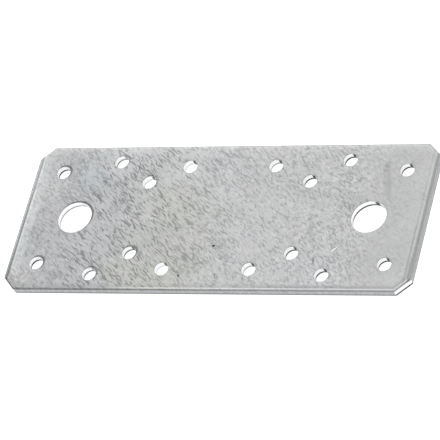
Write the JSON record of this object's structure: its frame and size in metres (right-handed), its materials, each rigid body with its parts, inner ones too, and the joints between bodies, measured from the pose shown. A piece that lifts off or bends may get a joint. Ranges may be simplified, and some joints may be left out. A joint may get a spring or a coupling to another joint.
{
  "type": "mending plate",
  "caption": "Flat galvanised steel plate with clipped corners, round nail holes in staggered rows and a bolt hole near each end, for joining timbers side by side or end to end.",
  "frame": {"origin": "middle of the back face, on the surface the plate lies on", "axes": "+X along the plate's length, +Y across it, +Z out of the face that the punches entered"},
  "size_m": [0.14, 0.055, 0.0025],
  "materials": {
    "galvanised_steel": "hot-dip galvanised sheet, dull grey with fine darker flecks, cut edges pierced and cropped by a press"
  },
  "bodies": {
    "root": {"mending_plate": "galvanised_steel"}
  },
  "joints": []
}
